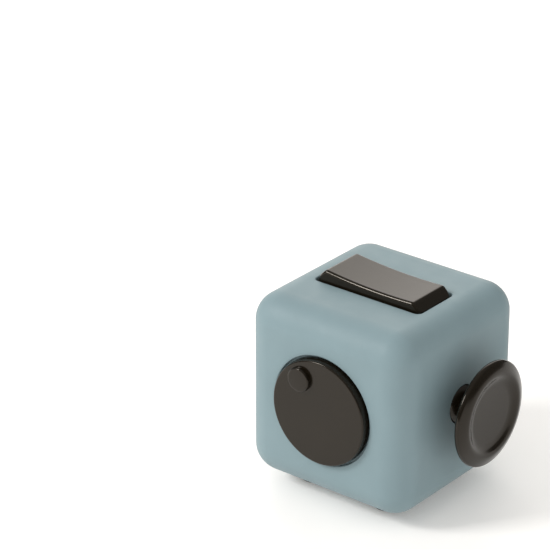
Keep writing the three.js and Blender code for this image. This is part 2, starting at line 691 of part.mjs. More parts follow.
function gear(x) {
  const { tip, root, teeth, thickness, y, z } = GEAR;
  const { radius, reach, end } = GEAR_HUB;
  const rim = notchedWheel(tip, root, teeth, 0.36);
  const wheel = prism(rim, "x", x - thickness / 2, x + thickness / 2, 3).translate([0, y, z]);
  const [low, high] = [Math.max(x - reach, -end), Math.min(x + reach, end)];
  const hub = rod("x", radius, low, high, at(0, y, z));
  return cut(joined(wheel, hub), rod("x", AXLE.radius + RUNNING, low - PAST, high + PAST, at(0, y, z)));
}

function gearBracket() {
  const { low, high, front, rear, ear, side, earLow } = BRACKET;
  const parts = [];
  const holes = [rod("x", AXLE.radius + RUNNING / 2, -side - PAST, side + PAST, at(0, GEAR.y, GEAR.z))];
  for (const sx of signs) {
    parts.push(block(span(sx, ear, side), [rear, front], [earLow, high]));
    holes.push(rod("z", SCREW.hole, low - PAST, high + PAST, at(sx * BRACKET_SCREW.x, BRACKET_SCREW.y, 0)));
  }
  return cut(joined(block(bothWays(side), [rear, front], [low, high]), ...parts), ...holes);
}

// A spring comb clamped on the bracket: one finger per gear, resting just clear of its teeth.
function gearDetentSpring() {
  const sheet = 0.25;
  const top = BRACKET.high + REST;
  const tab = block(bothWays(5.2), [8.6, 13.4], [top, top + sheet]);
  const bar = block(bothWays(8), [8.6, 8.6 + sheet], [BRACKET.low, top + sheet]);
  const front = [[8.6, 11.6], [8.6, 11], [5.9, 8.6], [6.9, 8.05]];
  const back = [[6.2, 8.65], [8.85, 11], [8.85, 11.6]];
  const finger = outline(...front, ...back);
  const fingers = Object.values(GEAR_PLACES).map((x) => prism(finger, "x", x - 1.1, x + 1.1));
  const holes = signs.map((sx) => {
    return rod("z", SCREW.hole, top - PAST, top + PAST, at(sx * BRACKET_SCREW.x, BRACKET_SCREW.y, 0));
  });
  return cut(joined(tab, bar, ...fingers), ...holes);
}

for (const [where, x] of Object.entries(GEAR_PLACES)) {
  piece(`gear_${where}`, gear(x), controlPlastic);
}
const axle = rod("x", AXLE.radius, ...bothWays(AXLE.halfLength), at(0, GEAR.y, GEAR.z));
piece("gear_axle", axle, screwSteel);
piece("gear_bracket", gearBracket(), innerPlastic);
piece("gear_detent_spring", gearDetentSpring(), springSteel);
for (const [left, sx] of [["left", -1], ["right", 1]]) {
  const place = at(sx * BRACKET_SCREW.x, BRACKET_SCREW.y, 0);
  piece(`gear_bracket_screw_${left}`, screw("z", BRACKET.low - REST, 1, 3.6, place), screwSteel);
}

// ---- rolling click ball ----

function ballCup() {
  const centre = at(0, 0, BALL.z);
  const body = turned(
    [
      [0, BALL_STEM.end],
      [BALL_STEM.radius, BALL_STEM.end],
      [BALL_STEM.radius, 7.6],
      [3.4, 7.6],
      [5.4, 9.6],
      [5.4, 12.6],
      [0, 12.6],
    ],
    "y",
    centre,
  );
  return cut(body, sphere(BALL.seat - 0.03, at(0, BALL.y, BALL.z), ROUND));
}

piece("click_ball", sphere(BALL.radius, at(0, BALL.y, BALL.z), BALL_SIDES), polishedSteel);
piece("ball_cup", ballCup(), innerPlastic);
const slideBack = BALL_SLIDE_WALL.span[1];
const ballSpring = coilSpring("y", 1.95, 0.28, slideBack + SPRING_GAP, 7.5, 2.5, at(0, 0, BALL.z));
piece("ball_spring", ballSpring, springSteel);

export default cube;
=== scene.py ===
"""A fidget cube: soft-touch blue casing, warm black controls and a polished steel ball.

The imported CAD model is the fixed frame. The shapes here are drawn in millimetres about the
cube's centre, in the CAD model's axes, and then moved to their place in metres:
  +Z rocker switch, -Z push buttons, -Y dial, +Y gears and ball, +X joystick, -X thumb panel.
"""

import json
import math

import bmesh
import bpy
from mathutils import Matrix, Vector

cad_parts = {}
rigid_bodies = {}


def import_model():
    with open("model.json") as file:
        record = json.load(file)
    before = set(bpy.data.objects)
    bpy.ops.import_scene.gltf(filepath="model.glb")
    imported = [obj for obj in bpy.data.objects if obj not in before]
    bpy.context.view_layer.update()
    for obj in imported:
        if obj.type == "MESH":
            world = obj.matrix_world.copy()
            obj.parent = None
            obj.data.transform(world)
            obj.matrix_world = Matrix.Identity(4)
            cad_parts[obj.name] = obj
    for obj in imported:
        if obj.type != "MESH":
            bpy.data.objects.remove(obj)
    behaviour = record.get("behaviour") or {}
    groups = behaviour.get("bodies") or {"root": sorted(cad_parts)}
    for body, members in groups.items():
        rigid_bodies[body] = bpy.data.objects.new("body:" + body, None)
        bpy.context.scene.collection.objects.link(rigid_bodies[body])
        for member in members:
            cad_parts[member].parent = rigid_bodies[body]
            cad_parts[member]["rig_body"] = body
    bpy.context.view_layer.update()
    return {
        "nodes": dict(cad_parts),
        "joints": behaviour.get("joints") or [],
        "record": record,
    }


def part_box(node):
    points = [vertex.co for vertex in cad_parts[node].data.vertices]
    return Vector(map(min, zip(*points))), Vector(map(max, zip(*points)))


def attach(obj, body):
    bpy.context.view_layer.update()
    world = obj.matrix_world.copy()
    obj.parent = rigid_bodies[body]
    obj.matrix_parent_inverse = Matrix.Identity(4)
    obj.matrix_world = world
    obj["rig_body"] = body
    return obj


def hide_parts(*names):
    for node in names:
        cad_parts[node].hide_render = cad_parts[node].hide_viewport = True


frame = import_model()

# ---- sizes, in millimetres ----

MM = 0.001
shell_low, shell_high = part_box("body_shell")
HALF = (shell_high.z - shell_low.z) / 2 / MM
CENTRE = shell_high - Vector((HALF, HALF, HALF)) * MM  # the cover's pocket takes off the -X face

EDGE_RADIUS = 5
EDGE_SEGMENTS = 17  # an odd number, so that the cover's mitre falls between two rows of points
WALL = 1.8
INNER = HALF - WALL
SEAM = 0.12
CLEAR = 0.15
SEAM_ROUNDING = 0.09
LIP = 0.22  # rounding of the edge of an opening
JOIN = 0.1  # how far one solid runs into another that it is joined to or cut from
PAST = 1  # how far a cutter runs past a face of the cube

PANEL = {"edge": 13.4, "corner": 2, "thickness": 1.9}
PANEL_DISH = {"half_width": 7.9, "half_height": 10.6, "depth": 0.95}
PANEL_HOOK = {"y": 7, "half_width": 2, "inner": 11.2, "outer": 12.05, "catch": 12.6, "reach": 0.95}
RIM_INNER_X = -HALF + PANEL["thickness"] + CLEAR + 1.25
RIM_OPENING = 12.2

POSTS = {  # screw bosses on the casing's walls; a pilot hole runs past the wall's inner face by its depth
    "chassis": {"radius": 2, "top": 10.55, "pilot_depth": -0.2, "x": 11.8, "y": 12.3},
    "retainer": {"radius": 1.5, "top": 13.05, "pilot_depth": 0.6, "y": 5.6, "z": 5.6},
    "cradle": {"radius": 1.35, "top": 12.45, "pilot_depth": 0.6, "x": 12.2},
    "bracket": {"radius": 1.5, "top": 12.45, "pilot_depth": 0.6, "x": 3.4, "y": 11.85},
}
PILOT_RADIUS = 0.8
STRIP_PIN = {"radius": 1.1, "length": 1.9, "x": 6.3, "z": 8.6}

BUTTON = {"hole": 3.4, "skirt": 3.25, "neck": 2.97, "top": 2.78, "lip": 2.5, "dish": 0.26, "proud": 2}
BUTTON_FLANGE = {"radius": 3.9, "thickness": 0.7}
BUTTON_PEG = {"radius": 0.9, "height": 2.5}
ROCKER = {"half_length": 10.5, "half_width": 4.7, "corner": 0.9, "base": 14, "edge": 0.2}
ROCKER_TOP = {"half_length": 8.95, "rise": 1.74, "dip": 0.4, "draft": 0.2, "rounding": 0.55}
ROCKER_OPENING = {"half_length": 10.85, "half_width": 4.95, "corner": 1}
ROCKER_HOLLOW = {"half_length": 9.6, "half_width": 3.9, "top": 16.6}
ROCKER_KNUCKLE = {"radius": 1.9, "half_width": 2.2, "top": 16.8, "bore": 1.06}
ROCKER_PIVOT_Z = 13
DIAL = {"radius": 9.4, "draft": 0.12, "proud": 1.15, "recess": 9.75, "recess_depth": 0.7}
DIAL_SHAFT = {"radius": 2.9, "back": -10.9, "bore": 0.75, "bore_end": -14.6}
DIAL_NUB = {"x": -3.6, "z": 5.3, "radius": 2.2, "draft": 0.1, "height": 0.75}
STICK = {"ball": 3.9, "socket": 4.03, "pivot_x": 14.3, "stalk": 2.4, "cap": 9.2, "top": 22.95, "mouth": 3.4}
STICK_TAIL = {"radius": 1.2, "end": 7.8}
GEAR = {"tip": 5.5, "root": 4.72, "teeth": 12, "half_width": 1.5, "pitch": 6.85, "y": 11.6, "z": 5.15}
GEAR_HUB = {"radius": 1.8, "bore": 0.81}
GEAR_SLOT = {"half_width": 1.775, "low": 0.5, "high": 9.8, "corner": 0.7}
BALL = {"radius": 5.5, "y": 14.63, "z": -7.25, "seat": 5.65, "mouth": 5.36}

SAME_POINT = 0.004  # points nearer than this are merged
SIDES = 96  # round pieces, all the way round
ARC = 10  # steps of a small round corner


def middle(node):
    """The middle of a CAD node's box, in millimetres from the cube's centre."""
    low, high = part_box(node)
    return ((low + high) / 2 - CENTRE) / MM


# ---- outlines: lists of (a, b) ----

def arc(radius, start, end, steps=ARC, centre=(0, 0)):
    """Points along an arc, from one angle to another in degrees."""
    points = []
    for i in range(steps + 1):
        angle = math.radians(start + (end - start) * i / steps)
        points.append((centre[0] + radius * math.cos(angle), centre[1] + radius * math.sin(angle)))
    return points


def rounded(points, closed=False, steps=6):
    """A line of corners, each (a, b) or (a, b, cut).

    A curve replaces a corner that has a cut, from that far before it to that far after."""
    result = []
    count = len(points)
    for i, point in enumerate(points):
        corner = Vector(point[:2])
        inside = closed or 0 < i < count - 1
        if len(point) == 2 or not inside:
            result.append(tuple(corner))
            continue
        before = Vector(points[i - 1][:2]) - corner
        after = Vector(points[(i + 1) % count][:2]) - corner
        start = corner + before.normalized() * min(point[2], before.length * 0.499)
        end = corner + after.normalized() * min(point[2], after.length * 0.499)
        for step in range(steps + 1):
            t = step / steps
            result.append(tuple(start * (1 - t) ** 2 + corner * 2 * t * (1 - t) + end * t * t))
    return result


def rounded_rectangle(a0, a1, b0, b1, radius, steps=ARC):
    """Its four corners are arcs."""
    points = []
    corners = [(a1, b0, -90), (a1, b1, 0), (a0, b1, 90), (a0, b0, 180)]
    for a, b, start in corners:
        centre = (a - radius if a == a1 else a + radius, b - radius if b == b1 else b + radius)
        points += arc(radius, start, start + 90, steps, centre)
    return points


def lip_levels(surface, depth, lip):
    """Grown widths and levels of a cutter that rounds the lip it cuts at a surface.

    The rounding stops a little short of flat, so that the cutter crosses the surface cleanly."""
    levels = [(0, surface - depth), (0, surface - lip)]
    last = math.radians(80)
    steps = 6
    for i in range(1, steps + 1):
        angle = last * i / steps
        levels.append((lip * (1 - math.cos(angle)), surface - lip + lip * math.sin(angle)))
    rise = lip * (1 - math.sin(last)) + 0.03
    levels.append((levels[-1][0] + rise * math.tan(last), levels[-1][1] + rise))
    levels.append((levels[-1][0], surface + PAST))
    return levels


# ---- solids ----

def placed(axis, a, b, along):
    """A point of an outline: XY along z, XZ along y and YZ along x."""
    return {"x": (along, a, b), "y": (a, along, b), "z": (a, b, along)}[axis]


def solid(mesh_builder, name="solid"):
    """A scene object from a finished bmesh, its faces turned outwards."""
    bmesh.ops.recalc_face_normals(mesh_builder, faces=mesh_builder.faces)
    mesh = bpy.data.meshes.new(name)
    mesh_builder.to_mesh(mesh)
    mesh_builder.free()
    piece = bpy.data.objects.new(name, mesh)
    bpy.context.scene.collection.objects.link(piece)
    return piece


def stack(axis, levels):
    """A closed solid skinned over outlines, each (outline, place along the axis)."""
    builder = bmesh.new()
    rings = []
    for outline, along in levels:
        rings.append([builder.verts.new(placed(axis, a, b, along)) for a, b in outline])
    for lower, upper in zip(rings, rings[1:]):
        for i in range(len(lower)):
            j = (i + 1) % len(lower)
            builder.faces.new((lower[i], lower[j], upper[j], upper[i]))
    builder.faces.new(rings[0])
    builder.faces.new(rings[-1])
    return solid(builder)


def prism(outline, axis, start, end):
    return stack(axis, [(outline, start), (outline, end)])


def lathe(profile, axis, centre=(0, 0, 0), sides=SIDES):
    """A profile of (radius, place along the axis) points, turned about an axis through a centre."""
    builder = bmesh.new()
    rings = []
    for radius, along in profile:
        turns = [2 * math.pi * i / sides for i in range(sides if radius > 0 else 1)]
        ring = []
        for turn in turns:
            point = Vector(placed(axis, radius * math.cos(turn), radius * math.sin(turn), along))
            ring.append(builder.verts.new(point + Vector(centre)))
        rings.append(ring)
    for first, second in zip(rings, rings[1:]):
        for i in range(sides):
            j = (i + 1) % sides
            near = [first[i % len(first)], first[j % len(first)]]
            far = [second[j % len(second)], second[i % len(second)]]
            distinct = list(dict.fromkeys(near + far))
            if len(distinct) > 2:
                builder.faces.new(distinct)
    return solid(builder)


def rod(axis, radius, start, end, centre=(0, 0, 0), sides=SIDES):
    return lathe([(0, start), (radius, start), (radius, end), (0, end)], axis, centre, sides)


def block(spans):
    """A box from its low and high value on X, Y and Z."""
    (x0, x1), (y0, y1), (z0, z1) = spans
    return prism([(x0, y0), (x1, y0), (x1, y1), (x0, y1)], "z", z0, z1)


def sphere(radius, centre, axis="z"):
    profile = [(0, -radius)] + arc(radius, -90, 90, SIDES // 2)[1:-1] + [(0, radius)]
    return lathe(profile, axis, centre)


def rounded_cube(half, radius, segments):
    builder = bmesh.new()
    bmesh.ops.create_cube(builder, size=2 * half)
    bmesh.ops.bevel(
        builder,
        geom=builder.edges[:],
        offset=radius,
        offset_type="OFFSET",
        segments=segments,
        profile=0.5,
        affect="EDGES",
    )
    return solid(builder)


def combine(target, operation, tools):
    """Joins or cuts a piece with others, which are used up."""
    for tool in tools:
        modifier = target.modifiers.new(operation, "BOOLEAN")
        modifier.operation = operation
        modifier.solver = "EXACT"
        modifier.object = tool
    graph = bpy.context.evaluated_depsgraph_get()
    mesh = bpy.data.meshes.new_from_object(target.evaluated_get(graph))
    target.modifiers.clear()
    target.data = mesh
    for tool in tools:
        bpy.data.objects.remove(tool)
    return target


def join(target, *tools):
    return combine(target, "UNION", tools)


def cut(target, *tools):
    return combine(target, "DIFFERENCE", tools)


def common(target, *tools):
    return combine(target, "INTERSECT", tools)


def soften(piece, width, wanted=lambda edge: True, segments=3, angle=30):
    """Rounds off the wanted edges where two faces meet at more than an angle in degrees."""
    builder = bmesh.new()
    builder.from_mesh(piece.data)
    bmesh.ops.remove_doubles(builder, verts=builder.verts, dist=SAME_POINT)
    edges = []
    for edge in builder.edges:
        if edge.is_manifold and edge.calc_face_angle() > math.radians(angle) and wanted(edge):
            edges.append(edge)
    bmesh.ops.bevel(
        builder,
        geom=edges,
        offset=width,
        offset_type="OFFSET",
        segments=segments,
        profile=0.5,
        affect="EDGES",
        clamp_overlap=True,
    )
    builder.to_mesh(piece.data)
    builder.free()
    return piece


# ---- materials ----

def add_node(tree, kind, inputs=None, **settings):
    """A shader node, with its inputs linked to sockets or set to values."""
    node = tree.nodes.new("ShaderNode" + kind)
    for name, value in settings.items():
        setattr(node, name, value)
    for name, value in (inputs or {}).items():
        if isinstance(value, bpy.types.NodeSocket):
            tree.links.new(value, node.inputs[name])
        else:
            node.inputs[name].default_value = value
    return node


def noise(tree, size, detail=2):
    """Noise whose blotches are about size millimetres across."""
    place = add_node(tree, "TexCoord").outputs["Object"]
    inputs = {"Vector": place, "Scale": 1 / (size * MM), "Detail": detail}
    return add_node(tree, "TexNoise", inputs).outputs["Fac"]


def ramp(tree, factor, dark, light):
    """A colour that drifts from dark to light with a factor."""
    node = add_node(tree, "ValToRGB", {"Fac": factor})
    for element, place, colour in zip(node.color_ramp.elements, (0.3, 0.7), (dark, light)):
        element.position = place
        element.color = (*colour, 1)
    return node.outputs["Color"]


def spread(tree, factor, low, high):
    inputs = {"Value": factor, "From Min": 0.3, "From Max": 0.7, "To Min": low, "To Max": high}
    return add_node(tree, "MapRange", inputs).outputs["Result"]


def material(name, colour, drift, roughness, grain, depth, **constants):
    """A surface with cloudy colour, patchy gloss and a fine grain of a given size and depth in mm."""
    look = bpy.data.materials.new(name)
    look.use_nodes = True
    tree = look.node_tree
    shader = tree.nodes["Principled BSDF"]
    dark = [channel * (1 - drift) for channel in colour]
    light = [min(channel * (1 + drift), 1) for channel in colour]
    clouds = noise(tree, 9, detail=5)
    tree.links.new(ramp(tree, clouds, dark, light), shader.inputs["Base Color"])
    patches = noise(tree, 3, detail=4)
    tree.links.new(spread(tree, patches, *roughness), shader.inputs["Roughness"])
    bump = {"Height": noise(tree, grain), "Strength": 1, "Distance": depth * MM}
    tree.links.new(add_node(tree, "Bump", bump).outputs["Normal"], shader.inputs["Normal"])
    for socket, value in constants.items():
        shader.inputs[socket].default_value = value
    return look


GLOSS_SHELL = {"Specular IOR Level": 0.3, "Sheen Weight": 0.06, "Sheen Roughness": 0.5}
GLOSS_CONTROLS = {"Specular IOR Level": 0.35, "Specular Tint": (1, 0.92, 0.83, 1)}
METAL = {"Metallic": 1}
LOOKS = {
    "shell": material(
        "soft_touch_blue", (0.192, 0.268, 0.292), 0.035, (0.5, 0.6),
        grain=0.16, depth=0.0035, **GLOSS_SHELL,
    ),
    "controls": material(
        "satin_warm_black", (0.0075, 0.0055, 0.003), 0.12, (0.15, 0.22),
        grain=0.2, depth=0.0015, **GLOSS_CONTROLS,
    ),
    "inner_parts": material(
        "moulded_dark_grey", (0.018, 0.018, 0.019), 0.15, (0.45, 0.6),
        grain=0.3, depth=0.006,
    ),
    "ball": material(
        "polished_steel", (0.7, 0.65, 0.58), 0.02, (0.03, 0.07),
        grain=0.5, depth=0.00005, **METAL,
    ),
    "springs": material(
        "drawn_spring_steel", (0.42, 0.42, 0.42), 0.08, (0.22, 0.34),
        grain=0.12, depth=0.002, **METAL,
    ),
    "screws": material(
        "zinc_plate", (0.5, 0.51, 0.52), 0.1, (0.25, 0.42),
        grain=0.15, depth=0.003, **METAL,
    ),
}
for part in frame["record"]["subparts"]:
    node = frame["nodes"][part["node"]]
    node.data.materials.clear()
    node.data.materials.append(LOOKS[part["material_slot"]])


# ---- finished pieces ----

def finish(piece, name, slot, node):
    """Names a piece, gives it its look and smooth shading, and sets it in the frame in its node's place."""
    piece.name = name
    piece.data.name = name
    piece.data.transform(Matrix.Translation(CENTRE) @ Matrix.Scale(MM, 4))
    piece.data.materials.clear()
    piece.data.materials.append(LOOKS[slot])
    for face in piece.data.polygons:
        face.material_index = 0
        face.use_smooth = True
    piece.data.set_sharp_from_angle(angle=math.radians(32))
    weighted = piece.modifiers.new("even_shading", "WEIGHTED_NORMAL")
    weighted.keep_sharp = True
    weighted.weight = 100
    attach(piece, frame["nodes"][node]["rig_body"])
    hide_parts(node)


# ---- casing and thumb panel ----

def pocket(gap, depth):
    """The room the cover takes in the -X wall, grown sideways by gap and inwards by depth.

    On its -Y side it runs over the rounded edge and ends on that edge's 45 degree line."""
    back = -HALF + PANEL["thickness"] + depth
    reach = PANEL["edge"] + gap
    corner = PANEL["corner"]
    inset = reach - corner
    outline = [(-HALF - PAST, -reach)]
    outline += arc(corner, -90, 0, 16, (inset, -inset))
    outline += arc(corner, 0, 90, 16, (inset, inset))
    outline += [(-HALF - PAST, reach)]
    mitre = gap * math.sqrt(2)
    far = HALF + 2
    wedge = [(back, back - mitre), (back, far), (-far, far), (-far, -far - mitre)]
    return common(prism(outline, "x", -HALF - PAST, back), prism(wedge, "z", -HALF, HALF))


def on_outside(edge):
    """Whether an edge lies on the rounded cube's surface."""
    for vertex in edge.verts:
        flat = Vector([max(-HALF + EDGE_RADIUS, min(HALF - EDGE_RADIUS, c)) for c in vertex.co])
        if abs((vertex.co - flat).length - EDGE_RADIUS) > 0.03:
            return False
    return True


def bosses_and_pilots():
    """Screw bosses and pins inside the casing, and the pilot holes in the bosses."""
    chassis, retainer, cradle, bracket = POSTS.values()
    pins = []
    posts = []
    for sx in (-1, 1):
        for sy in (-1, 1):
            posts.append(("z", -1, chassis, (sx * chassis["x"], sy * chassis["y"], 0)))
            posts.append(("x", 1, retainer, (0, sx * retainer["y"], sy * retainer["z"])))
        posts.append(("z", 1, cradle, (sx * cradle["x"], 0, 0)))
        posts.append(("z", 1, bracket, (sx * bracket["x"], bracket["y"], 0)))
        place = (sx * STRIP_PIN["x"], 0, STRIP_PIN["z"])
        pins.append(rod("y", STRIP_PIN["radius"], -INNER - JOIN, -INNER + STRIP_PIN["length"], place, 24))
    bosses = []
    pilots = []
    for axis, way, post, centre in posts:
        foot, top = way * (INNER + JOIN), way * post["top"]
        bosses.append(rod(axis, post["radius"], *sorted((foot, top)), centre, 32))
        hole = sorted((top - way * JOIN, way * (INNER + post["pilot_depth"])))
        pilots.append(rod(axis, PILOT_RADIUS, *hole, centre, 20))
    return pins + bosses, pilots


def flared_bore(axis, way, radius, depth, centre=(0, 0, 0), lip=LIP):
    """A round cutter that goes depth into a face of the cube and rounds its lip."""
    levels = lip_levels(HALF, depth, lip)
    profile = [(radius + grown, way * level) for grown, level in levels]
    return lathe([(0, profile[0][1])] + profile + [(0, profile[-1][1])], axis, centre)


def flared_slot(axis, a0, a1, b0, b1, corner, depth, lip=LIP):
    levels = []
    for grown, level in lip_levels(HALF, depth, lip):
        outline = rounded_rectangle(a0 - grown, a1 + grown, b0 - grown, b1 + grown, corner + grown)
        levels.append((outline, level))
    return stack(axis, levels)


def openings():
    """The cutters of every opening in the casing's faces."""
    through = WALL + 0.5
    half = RIM_OPENING
    wide, deep, corner = (ROCKER_OPENING[key] for key in ("half_length", "half_width", "corner"))
    tools = [
        pocket(SEAM, CLEAR),
        block([(-HALF - PAST, RIM_INNER_X + JOIN), (-half, half - 0.2), (-half, half)]),
        flared_slot("z", -wide, wide, -deep, deep, corner, through),
        flared_bore("y", -1, DIAL["recess"], DIAL["recess_depth"]),
        rod("y", DIAL_SHAFT["radius"] + CLEAR, -HALF - PAST, -INNER + 0.5),
        sphere(STICK["socket"], (STICK["pivot_x"], 0, 0), "x"),
        flared_bore("x", 1, STICK["mouth"], 0.4, lip=0.15),
        sphere(BALL["seat"], (0, BALL["y"], BALL["z"]), "y"),
        flared_bore("y", 1, BALL["mouth"], 0.4, (0, 0, BALL["z"]), lip=0.2),
    ]
    for node in GEARS:
        x = middle(node).x
        half = GEAR_SLOT["half_width"]
        span = (x - half, x + half, GEAR_SLOT["low"], GEAR_SLOT["high"])
        tools.append(flared_slot("y", *span, GEAR_SLOT["corner"], through, lip=0.3))
    for node in BUTTONS:
        place = middle(node)
        tools.append(flared_bore("z", -1, BUTTON["hole"], through, (place.x, place.y, 0)))
    return tools


def casing():
    """The cube's shell with five faces, open on the cover's side inside its rim."""
    wide = INNER + JOIN
    cavity = rounded_cube(INNER, EDGE_RADIUS - WALL, 6)
    cut(cavity, block([(-wide, RIM_INNER_X), (-wide, wide), (-wide, wide)]))
    bosses, pilots = bosses_and_pilots()
    body = cut(rounded_cube(HALF, EDGE_RADIUS, EDGE_SEGMENTS), cavity)
    join(body, *bosses)
    cut(body, *pilots, *openings())
    return soften(body, SEAM_ROUNDING, on_outside)


def press_dish(piece):
    """Divides the cover's flat face into a fine grid and sinks it into a smooth oval hollow."""
    builder = bmesh.new()
    builder.from_mesh(piece.data)
    reach = (0, PANEL_DISH["half_width"], PANEL_DISH["half_height"])
    spacing = 0.4
    for axis in (1, 2):
        count = round(reach[axis] / spacing)
        for i in range(-count, count + 1):
            flat = [face for face in builder.faces if face.normal.x < -0.999]
            faces = [face for face in flat if face.calc_center_median().x < 0.01 - HALF]
            geometry = {item for face in faces for item in (face, *face.edges, *face.verts)}
            point = Vector((-HALF, 0, 0))
            point[axis] = reach[axis] * i / count
            normal = Vector((0, 0, 0))
            normal[axis] = 1
            bmesh.ops.bisect_plane(builder, geom=list(geometry), dist=1e-4, plane_co=point, plane_no=normal)
    for vertex in builder.verts:
        radius = math.hypot(vertex.co.y / reach[1], vertex.co.z / reach[2])
        if abs(vertex.co.x + HALF) < 1e-3 and radius < 1:
            vertex.co.x += PANEL_DISH["depth"] * (1 - radius ** 2) ** 1.3
    builder.to_mesh(piece.data)
    builder.free()
    return piece


def cover():
    """The thumb panel, with four snap hooks behind the rim."""
    skin = common(rounded_cube(HALF, EDGE_RADIUS, EDGE_SEGMENTS), pocket(0, 0))
    back = -HALF + PANEL["thickness"] - JOIN
    tip = RIM_INNER_X + PANEL_HOOK["reach"]
    inner, outer, catch = (PANEL_HOOK[key] for key in ("inner", "outer", "catch"))
    hooks = []
    for y in (-PANEL_HOOK["y"], PANEL_HOOK["y"]):
        across = (y - PANEL_HOOK["half_width"], y + PANEL_HOOK["half_width"])
        for side in (-1, 1):
            leg = block([(back, tip), across, sorted((inner * side, outer * side))])
            tooth = sorted(((outer - JOIN / 2) * side, catch * side))
            hooks.append(join(leg, block([(RIM_INNER_X + CLEAR, tip), across, tooth])))
    join(skin, *hooks)
    return press_dish(soften(skin, SEAM_ROUNDING, on_outside))


# ---- push buttons ----

def button(place):
    """A dished cap with a flared skirt, a flange behind the wall and a peg for its spring."""
    end = -HALF - BUTTON["proud"]
    shoulder = -INNER + CLEAR
    flange = shoulder + BUTTON_FLANGE["thickness"]
    peg_end = shoulder + BUTTON_PEG["height"]
    steps = 12
    dish = []
    for i in range(steps + 1):
        radius = BUTTON["lip"] * i / steps
        dish.append((radius, end + BUTTON["dish"] * (1 - (radius / BUTTON["lip"]) ** 2)))
    outside = rounded(
        [
            dish.pop(),
            (BUTTON["top"], end, 0.22),
            (BUTTON["neck"], -HALF - 0.5, 0.28),
            (BUTTON["skirt"], -HALF - 0.22, 0.1),
            (BUTTON["skirt"], shoulder),
            (BUTTON_FLANGE["radius"], shoulder),
            (BUTTON_FLANGE["radius"], flange),
            (BUTTON_PEG["radius"], flange),
            (BUTTON_PEG["radius"], peg_end, 0.2),
            (0, peg_end),
        ]
    )
    return lathe(dish + outside, "z", (place.x, place.y, 0))


# ---- rocker switch ----

def rocker_section(x, top):
    """The key's outline across its length at x, its upper corners rounded.

    It is narrower near the key's ends, which are rounded as seen from above."""
    corner, rounding = ROCKER["corner"], ROCKER_TOP["rounding"]
    past = max(0, abs(x) - ROCKER["half_length"] + corner)
    foot = ROCKER["half_width"] - corner + math.sqrt(corner ** 2 - past ** 2)
    inner = foot - ROCKER_TOP["draft"] - rounding
    outline = [(-foot, ROCKER["base"]), (foot, ROCKER["base"])]
    outline += arc(rounding, 0, 90, 8, (inner, top - rounding))
    return outline + arc(rounding, 90, 180, 8, (-inner, top - rounding))


def rocker():
    """Drawn level, then tilted about its pin to the side it has clicked to."""
    length, corner, base = (ROCKER[key] for key in ("half_length", "corner", "base"))
    top_length, dip = ROCKER_TOP["half_length"], ROCKER_TOP["dip"]
    top, foot = HALF + ROCKER_TOP["rise"], HALF + ROCKER["edge"]
    slope = []
    slope_steps = 6
    for i in range(slope_steps + 1):
        x = length - corner + corner * math.sin(math.radians(90 * i / slope_steps))
        slope.append((x, top + (foot - top) * (x - top_length) / (length - top_length)))
    line = [(-x, z) for x, z in reversed(slope)] + [(-top_length, top, 0.35)]
    steps = 32
    for i in range(steps + 1):
        x = (top_length - 0.8) * (2 * i / steps - 1)
        line.append((x, top - dip * (1 - (x / top_length) ** 2)))
    line += [(top_length, top, 0.35)] + slope
    key = stack("x", [(rocker_section(x, z), x) for x, z in rounded(line)])
    wide, deep, ceiling = (ROCKER_HOLLOW[key] for key in ("half_length", "half_width", "top"))
    hollow = block([(-wide, wide), (-deep, deep), (base - PAST, ceiling)])
    round_end, half = ROCKER_KNUCKLE["radius"], ROCKER_KNUCKLE["half_width"]
    boss = block([(-round_end, round_end), (-half, half), (ROCKER_PIVOT_Z, ROCKER_KNUCKLE["top"])])
    knuckle = rod("y", round_end, -half, half, (0, 0, ROCKER_PIVOT_Z), 48)
    join(cut(key, hollow), boss, knuckle)
    cut(key, rod("y", ROCKER_KNUCKLE["bore"], -5, 5, (0, 0, ROCKER_PIVOT_Z), 48))
    joint = next(joint for joint in frame["joints"] if joint["name"] == "rocker_tilt")
    tilt = math.radians((joint["range_deg"][1] - joint["range_deg"][0]) / 2)
    pin = Vector((0, 0, ROCKER_PIVOT_Z))
    turned = Matrix.Translation(pin) @ Matrix.Rotation(tilt, 4, "Y") @ Matrix.Translation(-pin)
    key.data.transform(turned)
    return key


# ---- dial ----

def dial():
    """A flat disc with a small round nub for the fingertip, on its shaft."""
    radius = DIAL["radius"]
    shaft, back = DIAL_SHAFT["radius"], DIAL_SHAFT["back"]
    face = -HALF - DIAL["proud"]
    floor = -HALF + DIAL["recess_depth"] - 0.12
    profile = rounded(
        [
            (0, face),
            (radius - DIAL["draft"], face, 0.3),
            (radius, -HALF),
            (radius, floor),
            (shaft, floor),
            (shaft, back),
            (0, back),
        ]
    )
    end, foot = face - DIAL_NUB["height"], face + JOIN
    nub = rounded(
        [
            (0, end),
            (DIAL_NUB["radius"] - DIAL_NUB["draft"], end, 0.25),
            (DIAL_NUB["radius"], foot),
            (0, foot),
        ]
    )
    disc = lathe(profile, "y", sides=2 * SIDES)
    join(disc, lathe(nub, "y", (DIAL_NUB["x"], 0, DIAL_NUB["z"]), SIDES // 2))
    return cut(disc, rod("y", DIAL_SHAFT["bore"], DIAL_SHAFT["bore_end"], back + PAST, sides=32))


# ---- joystick ----

